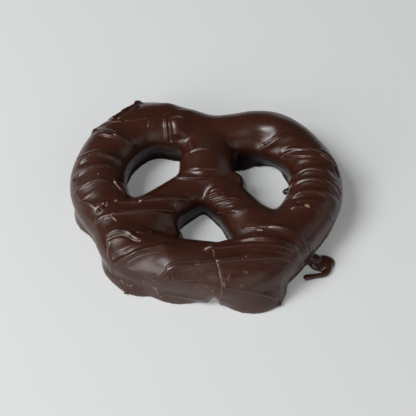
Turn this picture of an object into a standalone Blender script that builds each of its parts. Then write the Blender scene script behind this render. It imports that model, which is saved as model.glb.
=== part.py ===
"""A large pretzel dipped in dark chocolate and set down to harden on a flat sheet.

The baked rope is a ring with a fat belly at the front, a short trunk that drops from the dip
at the back, and two strands that run from the twist to the ring. The coat rounds every joint,
runs down into a skirt, spreads in lips at the front, ends in one drip, and carries thick
drizzle across the rope. The piece is one solid.

X runs along the line between the two side loops, -Y is the belly's side, and Z is up from
the face that the pretzel lies on. Plan points, widths and heights are in millimetres.
"""

import math

import bmesh
import bpy
from mathutils import Matrix, Vector
from mathutils.bvhtree import BVHTree

MM = 0.001
NAME = "coated_pretzel"

# The middle of the finished piece's box on the plan, which becomes the origin.
PLAN_MIDDLE = (-1.6, 4.1)

# Rope: a dough rope sags as it bakes, so its section is lower than it is wide.
ROPE_HEIGHT_SHARE = 0.88
ROPE_SINK = 0.7

# Each knot is (x, y, rope width), in order along the strand.
RING_KNOTS = (
    (-2.0, 32.8, 17.6),
    (7.0, 34.1, 18.0),
    (14.5, 35.0, 19.4),
    (20.2, 34.1, 20.3),
    (25.0, 32.2, 19.8),
    (31.5, 27.7, 18.2),
    (37.0, 17.3, 19.0),
    (37.0, 6.0, 20.2),
    (31.3, -6.0, 19.6),
    (24.0, -17.0, 20.5),
    (14.5, -24.5, 20.5),
    (1.0, -24.6, 19.4),
    (-13.0, -23.8, 19.5),
    (-24.0, -20.5, 19.6),
    (-31.3, -10.0, 19.0),
    (-39.3, 3.0, 21.1),
    (-39.8, 14.5, 20.4),
    (-34.8, 26.4, 20.0),
    (-25.0, 34.2, 20.0),
    (-13.0, 34.0, 19.2),
)
TRUNK_KNOTS = (
    (-2.3, 32.0, 16.0),
    (-2.2, 25.0, 18.6),
    (-2.3, 17.0, 20.6),
    (-2.4, 9.0, 16.0),
)
LEFT_STRAND_KNOTS = (
    (-3.0, 15.0, 15.5),
    (-6.0, 9.2, 16.0),
    (-13.0, 2.0, 16.2),
    (-21.2, -7.2, 18.9),
    (-30.0, -11.0, 18.5),
)
RIGHT_STRAND_KNOTS = (
    (-1.5, 15.0, 15.5),
    (2.0, 9.4, 16.0),
    (9.7, 1.9, 15.9),
    (18.3, -7.6, 18.9),
    (27.5, -10.5, 17.6),
)
STRANDS = (
    ("ring", RING_KNOTS, True),
    ("trunk", TRUNK_KNOTS, False),
    ("left_strand", LEFT_STRAND_KNOTS, False),
    ("right_strand", RIGHT_STRAND_KNOTS, False),
)

# Skirt: coat that ran down the rope's sides to the floor, a little narrower than the rope.
SKIRT_WIDTH_SHARE = 0.90
SKIRT_HEIGHT = 5.0

# Apron: the thick coat that evens the belly's front between the rope and the lips at its foot.
# Each knot is (x, y, z, width).
APRON_KNOTS = (
    (25.0, -23.6, 3.8, 14.6),
    (17.5, -27.6, 4.0, 15.6),
    (8.0, -27.6, 4.0, 15.4),
    (-4.0, -27.0, 3.8, 15.0),
    (-14.0, -26.2, 3.8, 15.0),
    (-22.5, -23.4, 3.8, 14.6),
    (-28.0, -18.6, 3.6, 13.0),
)

# Lumps of coat that stand on the floor: (x, y, length, width, height, turn in degrees).
# The first four fill the narrow corners of the holes; the others are the skirt's wide lips.
LUMPS = (
    (-11.3, -11.7, 9.0, 9.0, 10.5, 0.0),
    (13.0, -12.7, 10.0, 10.0, 13.0, 0.0),
    (10.2, 27.5, 13.0, 8.0, 8.0, 25.0),
    (8.6, 12.2, 10.0, 9.0, 13.0, 0.0),
    (17.5, -26.5, 25.0, 20.5, 9.5, 3.0),
    (-8.0, -26.6, 26.0, 17.5, 9.0, -2.0),
    (-22.0, -25.9, 20.0, 14.9, 8.0, -20.0),
    (-28.0, -22.5, 18.0, 13.0, 7.0, -52.0),
    (-41.9, -2.2, 17.5, 12.4, 8.0, -64.0),
)

# The body is remeshed on an even grid and smoothed, which rounds its joints as the coat does.
BODY_VOXEL = 0.8
BODY_SMOOTH_STEPS = 10
BODY_TRIANGLES = 9000

# Thin and pointed runs of coat: each is a chain of (x, y, z, width).
RUNS = {
    "back_left_rim": (
        (-42.5, 24.5, 8.5, 5.0),
        (-37.5, 33.5, 9.5, 6.0),
        (-31.0, 40.0, 9.5, 6.5),
        (-24.0, 42.2, 9.8, 5.5),
        (-15.0, 41.4, 9.4, 4.6),
        (-7.0, 39.4, 9.2, 3.0),
    ),
    "back_left_point": ((-28.0, 37.4, 11.0, 8.0), (-29.3, 40.4, 11.4, 6.0), (-30.2, 42.6, 12.0, 3.6)),
    "left_outer_point": ((-40.0, 24.0, 9.5, 7.0), (-44.0, 26.0, 10.0, 3.5), (-46.0, 27.2, 10.5, 1.6)),
    "front_left_point": ((-20.0, -27.0, 1.0, 5.0), (-23.5, -31.3, 0.9, 3.0), (-25.2, -32.8, 0.6, 1.4)),
    "front_right_point": ((23.0, -27.0, 1.0, 5.0), (26.5, -31.0, 1.0, 3.4), (28.0, -32.8, 0.6, 1.6)),
    "drip_neck": ((30.5, -9.5, 5.5, 6.5), (35.0, -12.3, 2.4, 4.6), (40.0, -14.0, 1.0, 4.0)),
    "drip_thread": ((44.0, -15.0, 0.9, 2.4), (43.0, -18.4, 0.8, 2.2), (39.0, -20.0, 0.7, 2.0),
                    (35.4, -21.2, 0.9, 2.6)),
    "right_hole_curl": ((30.0, 13.0, 5.5, 2.4), (27.3, 12.2, 5.0, 2.2), (26.2, 11.2, 4.6, 2.2)),
}

# The drip's flat end: (x, y, length, width, height, turn in degrees).
DRIP_POOL = (41.4, -14.2, 9.6, 6.8, 2.0, 12.0)

# Oval hollows at the foot, where the coat left the floor open: the gap between the two front
# lips, and the underside of the rope at the back of the right hole. Each is
# (x, y, length, width, height, turn in degrees).
HOLLOWS = {
    "front_gap": (5.1, -36.0, 4.2, 9.6, 6.0, 0.0),
    "right_hole_foot": (19.9, 21.3, 12.0, 10.8, 5.0, 0.0),
}

# Drizzle strings: (x and y at each end, bow to the left, swing of an S, width).
STRINGS = {
    "left_arm": (
        (-49.0, 9.0, -31.5, 13.0, 1.6, 0.0, 2.4),
        (-48.5, 3.0, -35.0, 9.3, 0.8, 0.0, 2.0),
        (-47.0, -2.0, -33.0, 2.3, 0.8, 0.0, 2.2),
        (-33.5, 4.0, -28.5, -1.0, 0.0, 0.0, 2.6),
        (-41.5, -5.5, -32.0, 0.8, 0.6, 0.0, 1.7),
        (-45.0, -4.8, -36.0, -8.9, 0.0, 0.0, 1.7),
        (-44.0, 24.0, -29.5, 20.0, 0.6, 0.0, 2.2),
    ),
    "back_arms": (
        (-15.8, 34.8, -11.6, 25.2, 0.0, 0.0, 3.8),
        (15.0, 24.5, 32.0, 30.5, 0.0, 0.0, 2.0),
    ),
    "trunk": (
        (-9.0, 18.8, 2.5, 18.8, 1.3, 0.0, 2.0),
        (-10.5, 12.2, 5.0, 12.8, -0.8, 0.0, 1.7),
        (-13.5, 9.5, 2.0, 9.2, -0.8, 0.0, 1.8),
        (-2.0, 2.0, 6.0, 4.8, 0.4, 0.0, 2.0),
        (-1.5, 1.2, 8.0, 2.0, -0.3, 0.0, 2.0),
        (0.0, -0.5, 12.0, 0.8, 0.2, 0.0, 2.1),
        (3.0, -2.9, 16.5, -3.4, -0.8, 0.0, 2.2),
    ),
    "right_arm": (
        (23.5, 21.5, 46.5, 17.0, 2.4, 0.0, 2.4),
        (28.5, 19.0, 37.5, 18.0, 0.8, 0.0, 1.7),
        (27.0, 11.3, 44.0, 11.5, 2.4, 0.0, 2.4),
        (27.5, 7.7, 45.0, 7.0, 1.6, 0.0, 2.2),
        (28.0, 2.0, 45.0, 2.8, 1.4, 0.0, 2.4),
        (28.5, -1.5, 42.0, -0.5, 1.2, 0.0, 2.0),
        (28.0, -3.8, 38.0, -2.5, 0.6, 0.0, 1.8),
    ),
    "left_strand": (
        (-32.0, -5.0, -5.0, 1.2, -1.0, 0.0, 2.3),
        (-38.5, -13.0, -9.0, -5.2, 0.4, 0.0, 2.3),
        (-33.5, -19.0, -18.0, -20.4, 1.4, 1.0, 2.8),
        (-22.0, -17.2, -17.5, -15.9, 0.0, 0.0, 2.2),
        (-30.0, -27.6, -8.0, -22.6, 0.0, 0.0, 3.0),
    ),
    "belly": (
        (-13.4, -31.5, 33.0, -21.3, 0.0, 0.0, 2.1),
        (1.0, -22.8, 35.0, -20.4, 4.0, 0.6, 3.2),
        (3.5, -23.2, 34.0, -21.6, 2.4, 0.0, 2.0),
        (11.0, -10.9, 34.5, -15.5, 2.0, 0.0, 2.2),
        (10.0, -25.5, 33.0, -22.8, 1.2, 0.0, 1.7),
    ),
}
STRING_POINTS = 17

# A string's width grows from this share of it at each end, by the taper times the share of its
# length from that end. Its middle lies a small share of its width above the coat.
STRING_END_SHARE = 0.35
STRING_TAPER = 3.0
STRING_RISE_SHARE = 0.08

# Points on a string are dropped onto the body from this height.
DROP_HEIGHT = 100.0

# After the strings are fused on, a finer grid melts their edges into the coat.
COAT_VOXEL = 0.55
COAT_SMOOTH_STEPS = 3
COAT_TRIANGLES = 10400

# The slab under the floor that cuts the underside flat: length, width and thickness.
SLAB_SIZE = (200.0, 200.0, 20.0)

# Steps round and along the forms, before the remesh evens them out.
ROPE_BEVEL_STEPS = 6
STRING_BEVEL_STEPS = 2
STEPS_BETWEEN_KNOTS = 10
LUMP_SEGMENTS = 32
LUMP_RINGS = 20
MERGE_DISTANCE = 0.01

# Dark chocolate, as a linear colour.
CHOCOLATE_COLOUR = (0.060, 0.026, 0.018, 1.0)
CHOCOLATE_ROUGHNESS = 0.34


def clear_scene():
    for obj in list(bpy.data.objects):
        bpy.data.objects.remove(obj, do_unlink=True)


def new_collection(name):
    collection = bpy.data.collections.new(name)
    bpy.context.scene.collection.children.link(collection)
    return collection


def chocolate():
    material = bpy.data.materials.new("dark_chocolate")
    material.use_nodes = True
    shader = material.node_tree.nodes["Principled BSDF"]
    shader.inputs["Base Color"].default_value = CHOCOLATE_COLOUR
    shader.inputs["Roughness"].default_value = CHOCOLATE_ROUGHNESS
    shader.inputs["Metallic"].default_value = 0.0
    material.diffuse_color = CHOCOLATE_COLOUR
    return material


def mesh_object(name, faces, collection):
    mesh = bpy.data.meshes.new(name)
    faces.to_mesh(mesh)
    faces.free()
    made = bpy.data.objects.new(name, mesh)
    collection.objects.link(made)
    return made


def as_mesh(obj, collection):
    """The evaluated curve as a closed mesh object with its place in its vertices."""
    bpy.context.view_layer.update()
    graph = bpy.context.evaluated_depsgraph_get()
    mesh = bpy.data.meshes.new_from_object(obj.evaluated_get(graph))
    mesh.transform(obj.matrix_world)
    name = obj.name
    bpy.data.objects.remove(obj)
    faces = bmesh.new()
    faces.from_mesh(mesh)
    bpy.data.meshes.remove(mesh)
    bmesh.ops.remove_doubles(faces, verts=faces.verts, dist=MERGE_DISTANCE * MM)
    bmesh.ops.recalc_face_normals(faces, faces=faces.faces)
    return mesh_object(name, faces, collection)


def tube(name, points, closed, height_share, collection):
    """A smooth tube through (x, y, z, width) points; its section is height_share as high as wide."""
    curve = bpy.data.curves.new(name, "CURVE")
    curve.dimensions = "3D"
    curve.bevel_depth = MM
    curve.bevel_resolution = ROPE_BEVEL_STEPS
    curve.resolution_u = STEPS_BETWEEN_KNOTS
    curve.use_fill_caps = True
    spline = curve.splines.new("BEZIER")
    spline.bezier_points.add(len(points) - 1)
    spline.use_cyclic_u = closed
    for point, (x, y, z, width) in zip(spline.bezier_points, points):
        point.co = (x * MM, y * MM, z * MM / height_share)
        point.radius = width / 2
        point.handle_left_type = "AUTO"
        point.handle_right_type = "AUTO"
    obj = bpy.data.objects.new(name, curve)
    obj.scale = (1.0, 1.0, height_share)
    collection.objects.link(obj)
    return as_mesh(obj, collection)


def lump(name, x, y, length, width, height, turn, collection):
    """An oval lump that stands on the floor, with its lower half sunk below."""
    faces = bmesh.new()
    place = Matrix.Translation((x * MM, y * MM, 0.0)) @ Matrix.Rotation(math.radians(turn), 4, "Z")
    size = Matrix.Diagonal((length / 2 * MM, width / 2 * MM, height * MM, 1.0))
    bmesh.ops.create_uvsphere(
        faces, u_segments=LUMP_SEGMENTS, v_segments=LUMP_RINGS, radius=1.0, matrix=place @ size
    )
    return mesh_object(name, faces, collection)


def joined(objects, name, collection):
    """One object that holds the meshes of them all."""
    faces = bmesh.new()
    for obj in objects:
        faces.from_mesh(obj.data)
        bpy.data.objects.remove(obj)
    return mesh_object(name, faces, collection)


def apply_modifiers(obj):
    bpy.context.view_layer.update()
    graph = bpy.context.evaluated_depsgraph_get()
    mesh = bpy.data.meshes.new_from_object(obj.evaluated_get(graph))
    obj.modifiers.clear()
    obj.data = mesh


def melt(obj, voxel, steps, triangles):
    """Remesh on an even grid, smooth, and thin out to a number of triangles."""
    remesh = obj.modifiers.new("even grid", "REMESH")
    remesh.mode = "VOXEL"
    remesh.voxel_size = voxel * MM
    smooth = obj.modifiers.new("coat rounds the joints", "SMOOTH")
    smooth.factor = 0.5
    smooth.iterations = steps
    apply_modifiers(obj)
    thin = obj.modifiers.new("fewer faces", "DECIMATE")
    thin.ratio = triangles / (2 * len(obj.data.polygons))
    thin.use_collapse_triangulate = True
    apply_modifiers(obj)


def lying(knots):
    """The knots with a height each, so that the rope's underside sinks a little into the floor."""
    return [(x, y, width / 2 * ROPE_HEIGHT_SHARE - ROPE_SINK, width) for x, y, width in knots]


def body(collection):
    """The coated rope with its skirt and lips, without its drip and its drizzle."""
    pieces = []
    for name, knots, closed in STRANDS:
        pieces.append(tube(name, lying(knots), closed, ROPE_HEIGHT_SHARE, collection))
        mean_width = sum(width for _, _, width in knots) / len(knots)
        flat = [(x, y, 0.0, width * SKIRT_WIDTH_SHARE) for x, y, width in knots]
        height_share = 2 * SKIRT_HEIGHT / mean_width
        pieces.append(tube(f"{name}_skirt", flat, closed, height_share, collection))
    pieces.append(tube("apron", APRON_KNOTS, False, 1.0, collection))
    for number, row in enumerate(LUMPS):
        pieces.append(lump(f"lump_{number}", *row, collection))
    made = joined(pieces, NAME, collection)
    melt(made, BODY_VOXEL, BODY_SMOOTH_STEPS, BODY_TRIANGLES)
    return made


def string_plan(x0, y0, x1, y1, bow, swing):
    """Plan points along a string: a chord, plus a half sine of bow and a full sine of swing."""
    along = Vector((x1 - x0, y1 - y0))
    left = Vector((-along.y, along.x)).normalized()
    for step in range(STRING_POINTS):
        t = step / (STRING_POINTS - 1)
        side = bow * math.sin(math.pi * t) + swing * math.sin(2 * math.pi * t)
        yield Vector((x0, y0)) + along * t + left * side


def string(name, row, surface, collection):
    """One drizzle string laid on the body: a thin tube that tapers at both ends."""
    *plan, width = row
    places = []
    for spot in string_plan(*plan):
        above = Vector((spot.x, spot.y, DROP_HEIGHT)) * MM
        place, normal, _, _ = surface.ray_cast(above, Vector((0.0, 0.0, -1.0)))
        if place is not None:
            places.append(place + normal * width * MM * STRING_RISE_SHARE)
    curve = bpy.data.curves.new(name, "CURVE")
    curve.dimensions = "3D"
    curve.bevel_depth = width / 2 * MM
    curve.bevel_resolution = STRING_BEVEL_STEPS
    curve.use_fill_caps = True
    spline = curve.splines.new("POLY")
    spline.points.add(len(places) - 1)
    for number, (point, place) in enumerate(zip(spline.points, places)):
        from_end = min(number, len(places) - 1 - number) / (len(places) - 1)
        point.co = (*place, 1.0)
        point.radius = min(1.0, STRING_END_SHARE + STRING_TAPER * from_end)
    obj = bpy.data.objects.new(name, curve)
    collection.objects.link(obj)
    return as_mesh(obj, collection)


def fuse(target, collection):
    """One Boolean union joins a collection's objects to the target; then they are removed."""
    union = target.modifiers.new("fused coat", "BOOLEAN")
    union.operation = "UNION"
    union.operand_type = "COLLECTION"
    union.collection = collection
    union.solver = "EXACT"
    apply_modifiers(target)
    for obj in list(collection.objects):
        bpy.data.objects.remove(obj)
    bpy.data.collections.remove(collection)


def floor_slab(cutters):
    """A block whose top face is the floor, and which reaches past the pretzel all round."""
    faces = bmesh.new()
    place = Matrix.Translation((0.0, 0.0, -SLAB_SIZE[2] / 2 * MM))
    size = Matrix.Diagonal((*(side * MM for side in SLAB_SIZE), 1.0))
    bmesh.ops.create_cube(faces, size=1.0, matrix=place @ size)
    return mesh_object("floor_slab", faces, cutters)


def cut_away(target, cutter):
    """Take the cutter's form out of the target; then the cutter is removed."""
    cutter.hide_render = True
    cutter.display_type = "WIRE"
    cut = target.modifiers.new(cutter.name, "BOOLEAN")
    cut.operation = "DIFFERENCE"
    cut.object = cutter
    cut.solver = "EXACT"
    apply_modifiers(target)
    bpy.data.objects.remove(cutter)


def main():
    clear_scene()
    parts = new_collection("chocolate_covered_pretzel")
    cutters = new_collection("cutters")
    pretzel = body(parts)
    surface = BVHTree.FromObject(pretzel, bpy.context.evaluated_depsgraph_get())
    coat = new_collection("coat_relief")
    for name, points in RUNS.items():
        tube(name, points, False, 1.0, coat)
    lump("drip_pool", *DRIP_POOL, coat)
    for place, rows in STRINGS.items():
        for number, row in enumerate(rows):
            string(f"{place}_string_{number}", row, surface, coat)
    fuse(pretzel, coat)
    for name, row in HOLLOWS.items():
        cut_away(pretzel, lump(name, *row, cutters))
    melt(pretzel, COAT_VOXEL, COAT_SMOOTH_STEPS, COAT_TRIANGLES)
    cut_away(pretzel, floor_slab(cutters))
    middle = Vector((PLAN_MIDDLE[0] * MM, PLAN_MIDDLE[1] * MM, 0.0))
    pretzel.data.transform(Matrix.Translation(-middle))
    pretzel.data.materials.clear()
    pretzel.data.materials.append(chocolate())
    pretzel.data.shade_smooth()


main()
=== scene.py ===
"""A chocolate covered pretzel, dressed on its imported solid.

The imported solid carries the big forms: the rope, its three holes, the skirt and the drip. This
script lays the fine surface of the chocolate over it: the threads and folds of drizzle, the
creases, cracks and scuffs, and the crumbs. The pretzel's own points, lengths and heights are in
millimetres, with z up from the floor. The floor, the lights and the camera are in metres.
"""

import math

import bmesh
import bpy
import numpy as np
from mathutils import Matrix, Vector
from mathutils.bvhtree import BVHTree


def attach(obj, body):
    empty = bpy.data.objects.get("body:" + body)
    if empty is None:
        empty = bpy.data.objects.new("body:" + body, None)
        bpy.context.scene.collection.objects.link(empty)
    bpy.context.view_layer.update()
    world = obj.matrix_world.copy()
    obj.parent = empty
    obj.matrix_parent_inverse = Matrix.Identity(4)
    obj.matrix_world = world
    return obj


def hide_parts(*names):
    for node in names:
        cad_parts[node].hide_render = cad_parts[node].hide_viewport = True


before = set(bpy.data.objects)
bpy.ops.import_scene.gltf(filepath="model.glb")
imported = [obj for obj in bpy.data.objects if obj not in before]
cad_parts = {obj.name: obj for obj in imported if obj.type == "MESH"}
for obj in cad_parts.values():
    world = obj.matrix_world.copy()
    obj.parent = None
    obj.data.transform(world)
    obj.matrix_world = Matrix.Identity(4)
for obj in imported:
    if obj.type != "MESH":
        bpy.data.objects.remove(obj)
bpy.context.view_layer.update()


# ------------------------------------------------------------------------------------------
# Coat. The baked rope was dipped whole in dark chocolate, thick drizzle was thrown across it
# while it was soft, and it was set down to harden. So one skin of chocolate lies all over the
# piece. It is made in three steps: its form, its relief and its finish.

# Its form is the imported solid's, on a fine even grid, relaxed until the solid's small facets and
# soft strings are smooth. The foot is relaxed less, and what lies on the floor stays.

MM = 0.001
MERGE_DISTANCE = 0.001 * MM
COAT_GRID = 0.25 * MM
ON_FLOOR_BELOW = 0.05
FOOT_FREEDOM = 0.25
FOOT_HEIGHTS = (0.6, 3.0)
# The first few steps smooth even the thin parts a little.
FIRST_RELAX_STEPS = 13
FIRST_LEAST_FREEDOM = 0.2
MAIN_RELAX_STEPS = 56

# Thin parts keep their shape: (x, y, radius) of each point and of the drip.
THIN_PARTS = (
    (-29.8, 38.8, 4.0),
    (-33.5, 33.5, 5.0),
    (-38.5, 28.5, 5.0),
    (-44.0, 22.8, 4.5),
    (-23.0, -36.3, 4.0),
    (28.8, -36.3, 4.0),
    (41.0, -20.5, 10.0),
    (27.8, 7.5, 2.5),
)
THIN_CORE = 0.5

# Where the threads melted right in, the coat is relaxed further: (x, y, radius, steps).
MELTED_PARTS = (
    (-12.0, 26.0, 9.0, 450),
    (-27.5, -22.0, 6.5, 350),
    (-21.0, -24.0, 7.0, 350),
    (-34.5, -16.0, 5.5, 200),
    (-9.5, 19.0, 5.0, 250),
    (1.0, 14.5, 8.5, 300),
    (-42.5, 0.0, 7.0, 150),
    (-41.0, -6.0, 6.5, 200),
    (-43.0, 7.5, 6.0, 120),
    (-14.0, -32.5, 7.0, 150),
    (-25.0, -27.5, 6.0, 250),
    (11.0, -8.5, 5.0, 150),
    (17.5, -16.0, 6.0, 150),
)
MELTED_CORE = 0.6
MELTED_HEIGHTS = (6.0, 10.0)


def with_modifiers(obj):
    """The object's mesh with its modifiers applied; the object keeps none of them."""
    bpy.context.view_layer.update()
    graph = bpy.context.evaluated_depsgraph_get()
    mesh = bpy.data.meshes.new_from_object(obj.evaluated_get(graph))
    obj.modifiers.clear()
    obj.data = mesh
    return mesh


def column(items, name, width, kind=np.float64):
    """One property of every item of a mesh, as an array with a row for each."""
    flat = np.empty(len(items) * width, kind)
    items.foreach_get(name, flat)
    return flat.reshape(-1, width)


def eased(value, low, high):
    """0 below low and 1 above high, with a smooth cubic between."""
    t = np.clip((value - low) / (high - low), 0.0, 1.0)
    return t * t * (3.0 - 2.0 * t)


def outside(x, y, radius, core):
    """0 over the core of a circle on the plan, which is a share of its radius, and 1 from its
    edge outwards, for every point of the coat."""
    return eased(np.hypot(points[:, 0] - x, points[:, 1] - y), core * radius, radius)


def relax(points, edges, freedom, steps):
    """Each step takes every point half way to the mean of its neighbours, times its freedom.
    Only the edges that touch a free point are worked on."""
    used, local = np.unique(edges[(freedom[edges] > 0.0).any(1)], return_inverse=True)
    one, other = local.reshape(-1, 2).T
    count = np.bincount(local.ravel())
    moved = points[used]
    for _ in range(steps):
        mean = np.empty_like(moved)
        for axis in range(3):
            total = np.bincount(one, moved[other, axis], len(used))
            total += np.bincount(other, moved[one, axis], len(used))
            mean[:, axis] = total / count
        moved = moved + 0.5 * freedom[used, None] * (mean - moved)
    points = points.copy()
    points[used] = moved
    return points


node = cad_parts["coated_pretzel"]
coat_mesh = node.data.copy()
merged = bmesh.new()
merged.from_mesh(coat_mesh)
bmesh.ops.remove_doubles(merged, verts=merged.verts, dist=MERGE_DISTANCE)
merged.to_mesh(coat_mesh)
merged.free()
coat = bpy.data.objects.new("chocolate_coat", coat_mesh)
bpy.context.scene.collection.objects.link(coat)
grid = coat.modifiers.new("even grid", "REMESH")
grid.mode = "VOXEL"
grid.voxel_size = COAT_GRID
coat_mesh = with_modifiers(coat)

points = column(coat_mesh.vertices, "co", 3) / MM
edges = column(coat_mesh.edges, "vertices", 2, np.int32)
freedom = FOOT_FREEDOM + (1.0 - FOOT_FREEDOM) * eased(points[:, 2], *FOOT_HEIGHTS)
for x, y, radius in THIN_PARTS:
    freedom *= outside(x, y, radius, THIN_CORE)
on_floor = points[:, 2] < ON_FLOOR_BELOW
first_freedom = np.where(on_floor, 0.0, np.maximum(freedom, FIRST_LEAST_FREEDOM))
points = relax(points, edges, first_freedom, FIRST_RELAX_STEPS)
points = relax(points, edges, np.where(on_floor, 0.0, freedom), MAIN_RELAX_STEPS)
for x, y, radius, steps in MELTED_PARTS:
    melted = (1.0 - outside(x, y, radius, MELTED_CORE)) * eased(points[:, 2], *MELTED_HEIGHTS)
    points = relax(points, edges, melted, steps)
coat_mesh.vertices.foreach_set("co", (points * MM).ravel())
coat_mesh.update()
normals = column(coat_mesh.vertices, "normal", 3)
skin = BVHTree.FromObject(coat, bpy.context.evaluated_depsgraph_get())


# Its relief is the drizzle that half melted into the coat. Each row below is one thread, fold or
# edge: (height, reach to its left, reach to its right, dip, taper), then the knots that it runs
# through. A negative height is a groove. A knot of two numbers is a place on the plan, and one of
# three is a place in space, which is taken to the nearest place on the coat.

PATH_STEP = 0.2
SPAN_SAMPLES = 24
FEWEST_PLACES = 4
DROP_HEIGHT = 50.0
# A dip's distance from its path and its width, in reaches to the right, and how many reaches
# away a fold has faded to nothing.
DIP_PLACE = 1.5
DIP_WIDTH = 0.5
FOLD_RANGE = 2.4


def smooth_path(knots, step):
    """Points a step apart on a Catmull-Rom curve: in each span, the four knots round it are
    blended by cubic weights."""
    knots = np.array(knots, float)
    ends = np.vstack([2 * knots[0] - knots[1], knots, 2 * knots[-1] - knots[-2]])
    t = np.linspace(0.0, 1.0, SPAN_SAMPLES, endpoint=False)[:, None]
    a, b, c, d = ends[:-3, None], ends[1:-2, None], ends[2:-1, None], ends[3:, None]
    curve = 0.5 * (2 * b + (c - a) * t + (2 * a - 5 * b + 4 * c - d) * t**2
                   + (3 * b - a - 3 * c + d) * t**3)
    curve = np.vstack([curve.reshape(-1, knots.shape[1]), knots[-1:]])
    run = np.concatenate([[0.0], np.cumsum(np.linalg.norm(np.diff(curve, axis=0), axis=1))])
    at = np.linspace(0.0, run[-1], max(FEWEST_PLACES, int(run[-1] / step)))
    return np.stack([np.interp(at, run, curve[:, axis]) for axis in range(curve.shape[1])], 1)


def dropped(spot):
    """The skin's point and normal under a plan point, or nearest to a point in space."""
    if len(spot) == 2:
        above = Vector((spot[0], spot[1], DROP_HEIGHT)) * MM
        return skin.ray_cast(above, Vector((0.0, 0.0, -1.0)))[:2]
    return skin.find_nearest(Vector(spot) * MM)[:2]


def laid(knots, step=PATH_STEP):
    """A path laid on the skin: its points, its tangents and the skin's normals there. Plan points
    beside the coat are left out."""
    drops = [dropped(spot) for spot in smooth_path(knots, step)]
    drops = [drop for drop in drops if drop[0] is not None]
    places = np.array([tuple(drop[0]) for drop in drops]) / MM
    ups = np.array([tuple(drop[1]) for drop in drops])
    tangents = np.gradient(places, axis=0)
    tangents /= np.linalg.norm(tangents, axis=1)[:, None] + 1e-9
    return places, tangents, ups


def across(knots, reach):
    """For the skin's points within reach of a path: their index, their distance from it, which is
    negative to its right, and how far along it they are. Last comes the path's length."""
    places, tangents, ups = laid(knots)
    low, high = places.min(0) - reach, places.max(0) + reach
    near = np.flatnonzero(((points > low) & (points < high)).all(1))
    spots = points[near]
    square = (spots**2).sum(1)[:, None] + (places**2).sum(1)[None] - 2 * spots @ places.T
    closest = square.argmin(1)
    offset = spots - places[closest]
    forward = (offset * tangents[closest]).sum(1)
    offset -= forward[:, None] * tangents[closest]
    side = (offset * np.cross(ups[closest], tangents[closest])).sum(1)
    distance = np.linalg.norm(offset, axis=1) * np.where(side < 0, -1.0, 1.0)
    run = np.concatenate([[0.0], np.cumsum(np.linalg.norm(np.diff(places, axis=0), axis=1))])
    return near, distance, run[closest] + forward, run[-1]


def fold(height, left, right, dip, taper, *knots):
    """Height times exp(-(distance/reach)^2), with a reach of its own on each side, less a dip of
    the same form but narrower, to the right. The taper fades both in over its length from each
    end of the path."""
    near, distance, along, length = across(knots, FOLD_RANGE * max(left, DIP_PLACE * right))
    profile = np.exp(-((distance / np.where(distance > 0, left, right)) ** 2))
    profile -= dip * np.exp(-(((distance + DIP_PLACE * right) / (DIP_WIDTH * right)) ** 2))
    return near, height * profile * eased(along, 0.0, taper) * eased(length - along, 0.0, taper)


# Left loop: threads across it, creases behind them, and the curl at its hole with a groove.
LEFT_ARM = (
    (0.45, 0.8, 0.75, 0.20, 3.0,
     (-46.6, 4.9), (-43.9, 6.1), (-41.8, 7.4), (-39.6, 8.3), (-37.5, 8.6), (-34.6, 8.5), (-31.4, 8.4)),
    (0.32, 0.7, 0.65, 0.20, 3.0,
     (-47.9, 9.6), (-44.6, 9.3), (-42.1, 9.8), (-39.3, 10.5), (-36.0, 10.6)),
    (0.20, 0.5, 0.35, 0.40, 1.5,
     (-47.6, 6.4), (-45.4, 7.0), (-43.6, 7.9), (-41.8, 9.0)),
    (0.38, 0.8, 0.70, 0.20, 2.5,
     (-45.6, -0.4), (-43.2, 1.2), (-41.1, 2.5), (-39.3, 3.0), (-37.1, 3.6), (-35.4, 4.4), (-33.6, 5.2)),
    (0.30, 0.7, 0.60, 0.20, 2.5,
     (-45.8, -6.4), (-43.6, -5.5), (-41.4, -4.6), (-38.6, -3.4), (-35.7, -2.8), (-32.5, -2.5)),
    (0.16, 0.8, 0.40, 0.40, 2.5,
     (-43.4, -9.2), (-41.5, -9.2), (-39.3, -8.4), (-36.4, -6.6), (-34.3, -5.1), (-31.8, -4.4)),
    (0.34, 0.35, 0.30, 0.50, 1.5,
     (-43.3, -8.7), (-41.2, -10.2), (-39.4, -11.1), (-37.4, -12.1), (-35.9, -12.7)),
    (0.32, 0.9, 0.45, 0.45, 2.0,
     (-42.4, 19.5), (-39.4, 18.6), (-36.9, 17.8), (-34.2, 17.4), (-31.5, 16.8)),
    (0.30, 2.2, 0.30, 0.60, 2.0,
     (-35.6, 19.2), (-34.2, 18.2), (-31.9, 17.4), (-29.8, 16.9), (-28.3, 16.5), (-27.0, 16.0)),
    (0.50, 0.45, 0.45, 0.50, 1.2,
     (-31.8, -0.2), (-31.2, -1.9), (-30.0, -3.2), (-28.6, -4.2), (-27.3, -4.7)),
    (-0.35, 0.4, 0.40, 0.0, 1.0,
     (-30.4, -0.6), (-29.4, -2.2), (-28.2, -3.1), (-27.2, -3.6)),
)

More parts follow.
